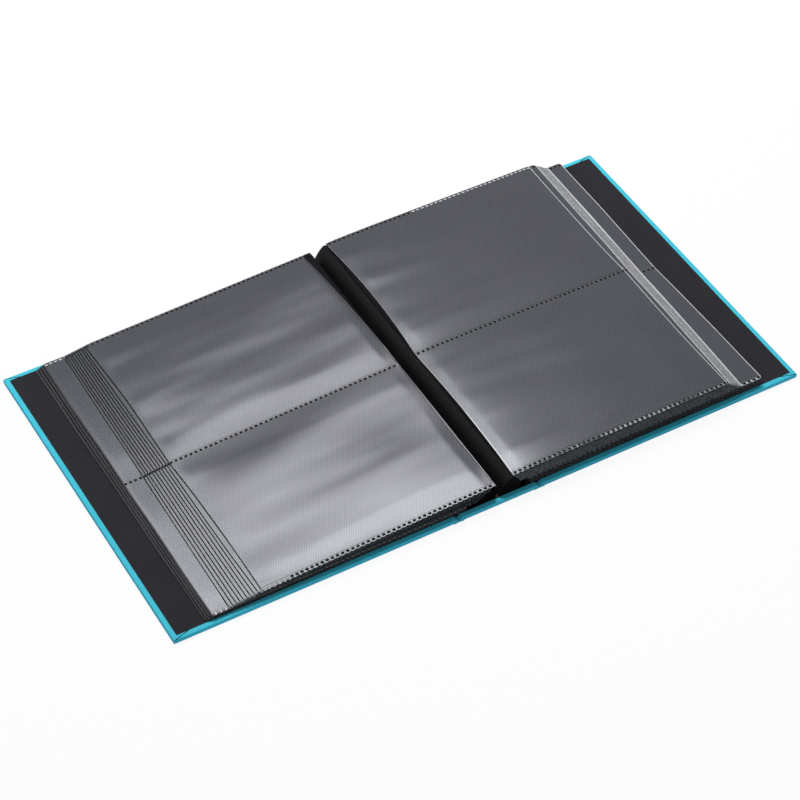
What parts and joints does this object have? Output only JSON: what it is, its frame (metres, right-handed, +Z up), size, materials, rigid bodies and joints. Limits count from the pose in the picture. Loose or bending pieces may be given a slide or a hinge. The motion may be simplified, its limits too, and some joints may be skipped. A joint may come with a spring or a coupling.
{
  "type": "pocket photo album",
  "caption": "Hardback pocket photo album lying open: wrapped boards hinged on a spine, black leaves with clear photo pockets on a folded binding strip.",
  "frame": {"origin": "on the supporting surface under the middle of the open album, which is the middle of its spine", "axes": "+X across the open album towards the back cover, +Y from tail to head, +Z up from the surface"},
  "size_m": [0.413, 0.23, 0.0166],
  "materials": {
    "turquoise_wrap": "satin printed wrap",
    "grey_board": "raw grey board",
    "black_paper": "matte black",
    "leaf_film": "embossed black film between clear films",
    "binding_film": "embossed black film",
    "clear_film": "clear satin pocket film"
  },
  "bodies": {
    "spine": {"spine_board": "grey_board", "spine_wrap": "turquoise_wrap", "spine_lining": "black_paper", "binding_strip": "binding_film"},
    "front_cover": {"front_board": "grey_board", "front_wrap": "turquoise_wrap", "front_endpaper": "black_paper"},
    "back_cover": {"back_board": "grey_board", "back_wrap": "turquoise_wrap", "back_endpaper": "black_paper"},
    "left_leaf_01": {"left_leaf_01": "leaf_film"},
    "left_leaf_02": {"left_leaf_02": "leaf_film"},
    "left_leaf_03": {"left_leaf_03": "leaf_film"},
    "left_leaf_04": {"left_leaf_04": "leaf_film"},
    "left_leaf_05": {"left_leaf_05": "leaf_film"},
    "left_leaf_06": {"left_leaf_06": "leaf_film"},
    "left_leaf_07": {"left_leaf_07": "leaf_film"},
    "left_leaf_08": {"left_leaf_08": "leaf_film"},
    "left_leaf_09": {"left_leaf_09": "leaf_film"},
    "left_leaf_10": {"left_leaf_10": "leaf_film"},
    "left_leaf_11": {"left_leaf_11": "leaf_film"},
    "left_leaf_12": {"left_leaf_12": "leaf_film"},
    "left_leaf_13": {"left_leaf_13": "leaf_film"},
    "left_leaf_14": {"left_leaf_14": "leaf_film"},
    "left_leaf_15": {"left_leaf_15": "leaf_film"},
    "left_leaf_16": {"left_leaf_16": "leaf_film"},
    "left_leaf_17": {"left_leaf_17": "leaf_film"},
    "left_leaf_18": {"left_leaf_18": "leaf_film"},
    "left_leaf_19": {"left_leaf_19": "leaf_film"},
    "left_leaf_20": {"left_leaf_20": "leaf_film"},
    "right_leaf_01": {"right_leaf_01": "leaf_film"},
    "right_leaf_02": {"right_leaf_02": "leaf_film"},
    "right_leaf_03": {"right_leaf_03": "leaf_film"},
    "right_leaf_04": {"right_leaf_04": "leaf_film"},
    "right_leaf_05": {"right_leaf_05": "leaf_film"},
    "right_leaf_06": {"right_leaf_06": "leaf_film"},
    "right_leaf_07": {"right_leaf_07": "leaf_film"},
    "right_leaf_08": {"right_leaf_08": "leaf_film"},
    "right_leaf_09": {"right_leaf_09": "leaf_film"},
    "right_leaf_10": {"right_leaf_10": "leaf_film"},
    "right_leaf_11": {"right_leaf_11": "leaf_film"},
    "right_leaf_12": {"right_leaf_12": "leaf_film"},
    "right_leaf_13": {"right_leaf_13": "leaf_film"},
    "right_leaf_14": {"right_leaf_14": "leaf_film"},
    "right_leaf_15": {"right_leaf_15": "leaf_film"},
    "right_leaf_16": {"right_leaf_16": "leaf_film"},
    "right_leaf_17": {"right_leaf_17": "leaf_film"},
    "right_leaf_18": {"right_leaf_18": "leaf_film"},
    "right_leaf_19": {"right_leaf_19": "leaf_film"},
    "right_leaf_20": {"right_leaf_20": "leaf_film"},
    "right_leaf_21": {"right_leaf_21": "leaf_film"},
    "right_leaf_22": {"right_leaf_22": "leaf_film"},
    "right_leaf_23": {"right_leaf_23": "leaf_film"},
    "right_leaf_24": {"right_leaf_24": "leaf_film"},
    "right_leaf_25": {"right_leaf_25": "leaf_film"},
    "right_leaf_26": {"right_leaf_26": "leaf_film"},
    "left_head_pocket_film": {"left_head_pocket_film": "clear_film"},
    "left_tail_pocket_film": {"left_tail_pocket_film": "clear_film"},
    "right_head_pocket_film": {"right_head_pocket_film": "clear_film"},
    "right_tail_pocket_film": {"right_tail_pocket_film": "clear_film"}
  },
  "joints": [
    {"name": "front_cover_hinge", "type": "hinge", "parent": "spine", "child": "front_cover", "pos_m": [-0.0267, 0, 0.0002], "axis": [0, 1, 0], "range_deg": [0, 90]},
    {"name": "back_cover_hinge", "type": "hinge", "parent": "spine", "child": "back_cover", "pos_m": [0.0267, 0, 0.0002], "axis": [0, -1, 0], "range_deg": [0, 90]},
    {"name": "right_leaf_01_turn", "type": "hinge", "parent": "right_leaf_02", "child": "right_leaf_01", "pos_m": [0.0105, 0, 0.01635], "axis": [0, 1, 0], "range_deg": [-180, 0]},
    {"name": "left_leaf_01_hinge", "type": "hinge", "parent": "spine", "child": "left_leaf_01", "pos_m": [-0.001, 0, 0.01391], "axis": [0, 1, 0], "range_deg": [0, 90]},
    {"name": "left_leaf_02_hinge", "type": "hinge", "parent": "spine", "child": "left_leaf_02", "pos_m": [-0.00228, 0, 0.0131], "axis": [0, 1, 0], "range_deg": [0, 90]},
    {"name": "left_leaf_03_hinge", "type": "hinge", "parent": "spine", "child": "left_leaf_03", "pos_m": [-0.00356, 0, 0.01229], "axis": [0, 1, 0], "range_deg": [0, 90]},
    {"name": "left_leaf_04_hinge", "type": "hinge", "parent": "spine", "child": "left_leaf_04", "pos_m": [-0.00484, 0, 0.01148], "axis": [0, 1, 0], "range_deg": [0, 90]},
    {"name": "left_leaf_05_hinge", "type": "hinge", "parent": "spine", "child": "left_leaf_05", "pos_m": [-0.00612, 0, 0.01066], "axis": [0, 1, 0], "range_deg": [0, 90]},
    {"name": "left_leaf_06_hinge", "type": "hinge", "parent": "spine", "child": "left_leaf_06", "pos_m": [-0.0074, 0, 0.00985], "axis": [0, 1, 0], "range_deg": [0, 90]},
    {"name": "left_leaf_07_hinge", "type": "hinge", "parent": "spine", "child": "left_leaf_07", "pos_m": [-0.00868, 0, 0.00904], "axis": [0, 1, 0], "range_deg": [0, 90]},
    {"name": "left_leaf_08_hinge", "type": "hinge", "parent": "spine", "child": "left_leaf_08", "pos_m": [-0.00996, 0, 0.00823], "axis": [0, 1, 0], "range_deg": [0, 90]},
    {"name": "left_leaf_09_hinge", "type": "hinge", "parent": "spine", "child": "left_leaf_09", "pos_m": [-0.01124, 0, 0.00743], "axis": [0, 1, 0], "range_deg": [0, 90]},
    {"name": "left_leaf_10_hinge", "type": "hinge", "parent": "spine", "child": "left_leaf_10", "pos_m": [-0.01252, 0, 0.00662], "axis": [0, 1, 0], "range_deg": [0, 90]},
    {"name": "left_leaf_11_hinge", "type": "hinge", "parent": "spine", "child": "left_leaf_11", "pos_m": [-0.02035, 0, 0.00596], "axis": [0, 1, 0], "range_deg": [0, 90]},
    {"name": "left_leaf_12_hinge", "type": "hinge", "parent": "spine", "child": "left_leaf_12", "pos_m": [-0.0206, 0, 0.00573], "axis": [0, 1, 0], "range_deg": [0, 90]},
    {"name": "left_leaf_13_hinge", "type": "hinge", "parent": "spine", "child": "left_leaf_13", "pos_m": [-0.02085, 0, 0.00549], "axis": [0, 1, 0], "range_deg": [0, 90]},
    {"name": "left_leaf_14_hinge", "type": "hinge", "parent": "spine", "child": "left_leaf_14", "pos_m": [-0.0211, 0, 0.00526], "axis": [0, 1, 0], "range_deg": [0, 90]},
    {"name": "left_leaf_15_hinge", "type": "hinge", "parent": "spine", "child": "left_leaf_15", "pos_m": [-0.02135, 0, 0.00502], "axis": [0, 1, 0], "range_deg": [0, 90]},
    {"name": "left_leaf_16_hinge", "type": "hinge", "parent": "spine", "child": "left_leaf_16", "pos_m": [-0.0216, 0, 0.00479], "axis": [0, 1, 0], "range_deg": [0, 90]},
    {"name": "left_leaf_17_hinge", "type": "hinge", "parent": "spine", "child": "left_leaf_17", "pos_m": [-0.02185, 0, 0.00456], "axis": [0, 1, 0], "range_deg": [0, 90]},
    {"name": "left_leaf_18_hinge", "type": "hinge", "parent": "spine", "child": "left_leaf_18", "pos_m": [-0.0221, 0, 0.00432], "axis": [0, 1, 0], "range_deg": [0, 90]},
    {"name": "left_leaf_19_hinge", "type": "hinge", "parent": "spine", "child": "left_leaf_19", "pos_m": [-0.02235, 0, 0.00409], "axis": [0, 1, 0], "range_deg": [0, 90]},
    {"name": "left_leaf_20_hinge", "type": "hinge", "parent": "spine", "child": "left_leaf_20", "pos_m": [-0.0226, 0, 0.00385], "axis": [0, 1, 0], "range_deg": [0, 90]},
    {"name": "right_leaf_02_hinge", "type": "hinge", "parent": "spine", "child": "right_leaf_02", "pos_m": [0.01083, 0, 0.01588], "axis": [0, -1, 0], "range_deg": [0, 90]},
    {"name": "right_leaf_03_hinge", "type": "hinge", "parent": "spine", "child": "right_leaf_03", "pos_m": [0.01116, 0, 0.01541], "axis": [0, -1, 0], "range_deg": [0, 90]},
    {"name": "right_leaf_04_hinge", "type": "hinge", "parent": "spine", "child": "right_leaf_04", "pos_m": [0.01149, 0, 0.01494], "axis": [0, -1, 0], "range_deg": [0, 90]},
    {"name": "right_leaf_05_hinge", "type": "hinge", "parent": "spine", "child": "right_leaf_05", "pos_m": [0.01182, 0, 0.01447], "axis": [0, -1, 0], "range_deg": [0, 90]},
    {"name": "right_leaf_06_hinge", "type": "hinge", "parent": "spine", "child": "right_leaf_06", "pos_m": [0.01215, 0, 0.014], "axis": [0, -1, 0], "range_deg": [0, 90]},
    {"name": "right_leaf_07_hinge", "type": "hinge", "parent": "spine", "child": "right_leaf_07", "pos_m": [0.01248, 0, 0.01353], "axis": [0, -1, 0], "range_deg": [0, 90]},
    {"name": "right_leaf_08_hinge", "type": "hinge", "parent": "spine", "child": "right_leaf_08", "pos_m": [0.01281, 0, 0.01306], "axis": [0, -1, 0], "range_deg": [0, 90]},
    {"name": "right_leaf_09_hinge", "type": "hinge", "parent": "spine", "child": "right_leaf_09", "pos_m": [0.01314, 0, 0.01259], "axis": [0, -1, 0], "range_deg": [0, 90]},
    {"name": "right_leaf_10_hinge", "type": "hinge", "parent": "spine", "child": "right_leaf_10", "pos_m": [0.01347, 0, 0.01212], "axis": [0, -1, 0], "range_deg": [0, 90]},
    {"name": "right_leaf_11_hinge", "type": "hinge", "parent": "spine", "child": "right_leaf_11", "pos_m": [0.0138, 0, 0.01165], "axis": [0, -1, 0], "range_deg": [0, 90]},
    {"name": "right_leaf_12_hinge", "type": "hinge", "parent": "spine", "child": "right_leaf_12", "pos_m": [0.01413, 0, 0.01118], "axis": [0, -1, 0], "range_deg": [0, 90]},
    {"name": "right_leaf_13_hinge", "type": "hinge", "parent": "spine", "child": "right_leaf_13", "pos_m": [0.01446, 0, 0.01071], "axis": [0, -1, 0], "range_deg": [0, 90]},
    {"name": "right_leaf_14_hinge", "type": "hinge", "parent": "spine", "child": "right_leaf_14", "pos_m": [0.01479, 0, 0.01024], "axis": [0, -1, 0], "range_deg": [0, 90]},
    {"name": "right_leaf_15_hinge", "type": "hinge", "parent": "spine", "child": "right_leaf_15", "pos_m": [0.01512, 0, 0.00977], "axis": [0, -1, 0], "range_deg": [0, 90]},
    {"name": "right_leaf_16_hinge", "type": "hinge", "parent": "spine", "child": "right_leaf_16", "pos_m": [0.01545, 0, 0.0093], "axis": [0, -1, 0], "range_deg": [0, 90]},
    {"name": "right_leaf_17_hinge", "type": "hinge", "parent": "spine", "child": "right_leaf_17", "pos_m": [0.01981, 0, 0.0088], "axis": [0, -1, 0], "range_deg": [0, 90]},
    {"name": "right_leaf_18_hinge", "type": "hinge", "parent": "spine", "child": "right_leaf_18", "pos_m": [0.02012, 0, 0.00825], "axis": [0, -1, 0], "range_deg": [0, 90]},
    {"name": "right_leaf_19_hinge", "type": "hinge", "parent": "spine", "child": "right_leaf_19", "pos_m": [0.02043, 0, 0.0077], "axis": [0, -1, 0], "range_deg": [0, 90]},
    {"name": "right_leaf_20_hinge", "type": "hinge", "parent": "spine", "child": "right_leaf_20", "pos_m": [0.02074, 0, 0.00715], "axis": [0, -1, 0], "range_deg": [0, 90]},
    {"name": "right_leaf_21_hinge", "type": "hinge", "parent": "spine", "child": "right_leaf_21", "pos_m": [0.02105, 0, 0.0066], "axis": [0, -1, 0], "range_deg": [0, 90]},
    {"name": "right_leaf_22_hinge", "type": "hinge", "parent": "spine", "child": "right_leaf_22", "pos_m": [0.02136, 0, 0.00605], "axis": [0, -1, 0], "range_deg": [0, 90]},
    {"name": "right_leaf_23_hinge", "type": "hinge", "parent": "spine", "child": "right_leaf_23", "pos_m": [0.02167, 0, 0.0055], "axis": [0, -1, 0], "range_deg": [0, 90]},
    {"name": "right_leaf_24_hinge", "type": "hinge", "parent": "spine", "child": "right_leaf_24", "pos_m": [0.02198, 0, 0.00495], "axis": [0, -1, 0], "range_deg": [0, 90]},
    {"name": "right_leaf_25_hinge", "type": "hinge", "parent": "spine", "child": "right_leaf_25", "pos_m": [0.02229, 0, 0.0044], "axis": [0, -1, 0], "range_deg": [0, 90]},
    {"name": "right_leaf_26_hinge", "type": "hinge", "parent": "spine", "child": "right_leaf_26", "pos_m": [0.0226, 0, 0.00385], "axis": [0, -1, 0], "range_deg": [0, 90]},
    {"name": "left_head_pocket_mouth", "type": "hinge", "parent": "left_leaf_01", "child": "left_head_pocket_film", "pos_m": [-0.15331, 0, 0.00859], "axis": [0, -1, 0], "range_deg": [0, 1.5]},
    {"name": "left_tail_pocket_mouth", "type": "hinge", "parent": "left_leaf_01", "child": "left_tail_pocket_film", "pos_m": [-0.15331, 0, 0.00859], "axis": [0, -1, 0], "range_deg": [0, 1.5]},
    {"name": "right_head_pocket_mouth", "type": "hinge", "parent": "right_leaf_01", "child": "right_head_pocket_film", "pos_m": [0.15865, 0, 0.01657], "axis": [0, 1, 0], "range_deg": [0, 1.5]},
    {"name": "right_tail_pocket_mouth", "type": "hinge", "parent": "right_leaf_01", "child": "right_tail_pocket_film", "pos_m": [0.15865, 0, 0.01657], "axis": [0, 1, 0], "range_deg": [0, 1.5]}
  ],
  "couplings": [
    {"joint": "left_leaf_01_hinge", "follows": "front_cover_hinge", "ratio": 1},
    {"joint": "left_leaf_02_hinge", "follows": "front_cover_hinge", "ratio": 1},
    {"joint": "left_leaf_03_hinge", "follows": "front_cover_hinge", "ratio": 1},
    {"joint": "left_leaf_04_hinge", "follows": "front_cover_hinge", "ratio": 1},
    {"joint": "left_leaf_05_hinge", "follows": "front_cover_hinge", "ratio": 1},
    {"joint": "left_leaf_06_hinge", "follows": "front_cover_hinge", "ratio": 1},
    {"joint": "left_leaf_07_hinge", "follows": "front_cover_hinge", "ratio": 1},
    {"joint": "left_leaf_08_hinge", "follows": "front_cover_hinge", "ratio": 1},
    {"joint": "left_leaf_09_hinge", "follows": "front_cover_hinge", "ratio": 1},
    {"joint": "left_leaf_10_hinge", "follows": "front_cover_hinge", "ratio": 1},
    {"joint": "left_leaf_11_hinge", "follows": "front_cover_hinge", "ratio": 1},
    {"joint": "left_leaf_12_hinge", "follows": "front_cover_hinge", "ratio": 1},
    {"joint": "left_leaf_13_hinge", "follows": "front_cover_hinge", "ratio": 1},
    {"joint": "left_leaf_14_hinge", "follows": "front_cover_hinge", "ratio": 1},
    {"joint": "left_leaf_15_hinge", "follows": "front_cover_hinge", "ratio": 1},
    {"joint": "left_leaf_16_hinge", "follows": "front_cover_hinge", "ratio": 1},
    {"joint": "left_leaf_17_hinge", "follows": "front_cover_hinge", "ratio": 1},
    {"joint": "left_leaf_18_hinge", "follows": "front_cover_hinge", "ratio": 1},
    {"joint": "left_leaf_19_hinge", "follows": "front_cover_hinge", "ratio": 1},
    {"joint": "left_leaf_20_hinge", "follows": "front_cover_hinge", "ratio": 1},
    {"joint": "right_leaf_02_hinge", "follows": "back_cover_hinge", "ratio": 1},
    {"joint": "right_leaf_03_hinge", "follows": "back_cover_hinge", "ratio": 1},
    {"joint": "right_leaf_04_hinge", "follows": "back_cover_hinge", "ratio": 1},
    {"joint": "right_leaf_05_hinge", "follows": "back_cover_hinge", "ratio": 1},
    {"joint": "right_leaf_06_hinge", "follows": "back_cover_hinge", "ratio": 1},
    {"joint": "right_leaf_07_hinge", "follows": "back_cover_hinge", "ratio": 1},
    {"joint": "right_leaf_08_hinge", "follows": "back_cover_hinge", "ratio": 1},
    {"joint": "right_leaf_09_hinge", "follows": "back_cover_hinge", "ratio": 1},
    {"joint": "right_leaf_10_hinge", "follows": "back_cover_hinge", "ratio": 1},
    {"joint": "right_leaf_11_hinge", "follows": "back_cover_hinge", "ratio": 1},
    {"joint": "right_leaf_12_hinge", "follows": "back_cover_hinge", "ratio": 1},
    {"joint": "right_leaf_13_hinge", "follows": "back_cover_hinge", "ratio": 1},
    {"joint": "right_leaf_14_hinge", "follows": "back_cover_hinge", "ratio": 1},
    {"joint": "right_leaf_15_hinge", "follows": "back_cover_hinge", "ratio": 1},
    {"joint": "right_leaf_16_hinge", "follows": "back_cover_hinge", "ratio": 1},
    {"joint": "right_leaf_17_hinge", "follows": "back_cover_hinge", "ratio": 1},
    {"joint": "right_leaf_18_hinge", "follows": "back_cover_hinge", "ratio": 1},
    {"joint": "right_leaf_19_hinge", "follows": "back_cover_hinge", "ratio": 1},
    {"joint": "right_leaf_20_hinge", "follows": "back_cover_hinge", "ratio": 1},
    {"joint": "right_leaf_21_hinge", "follows": "back_cover_hinge", "ratio": 1},
    {"joint": "right_leaf_22_hinge", "follows": "back_cover_hinge", "ratio": 1},
    {"joint": "right_leaf_23_hinge", "follows": "back_cover_hinge", "ratio": 1},
    {"joint": "right_leaf_24_hinge", "follows": "back_cover_hinge", "ratio": 1},
    {"joint": "right_leaf_25_hinge", "follows": "back_cover_hinge", "ratio": 1},
    {"joint": "right_leaf_26_hinge", "follows": "back_cover_hinge", "ratio": 1}
  ]
}
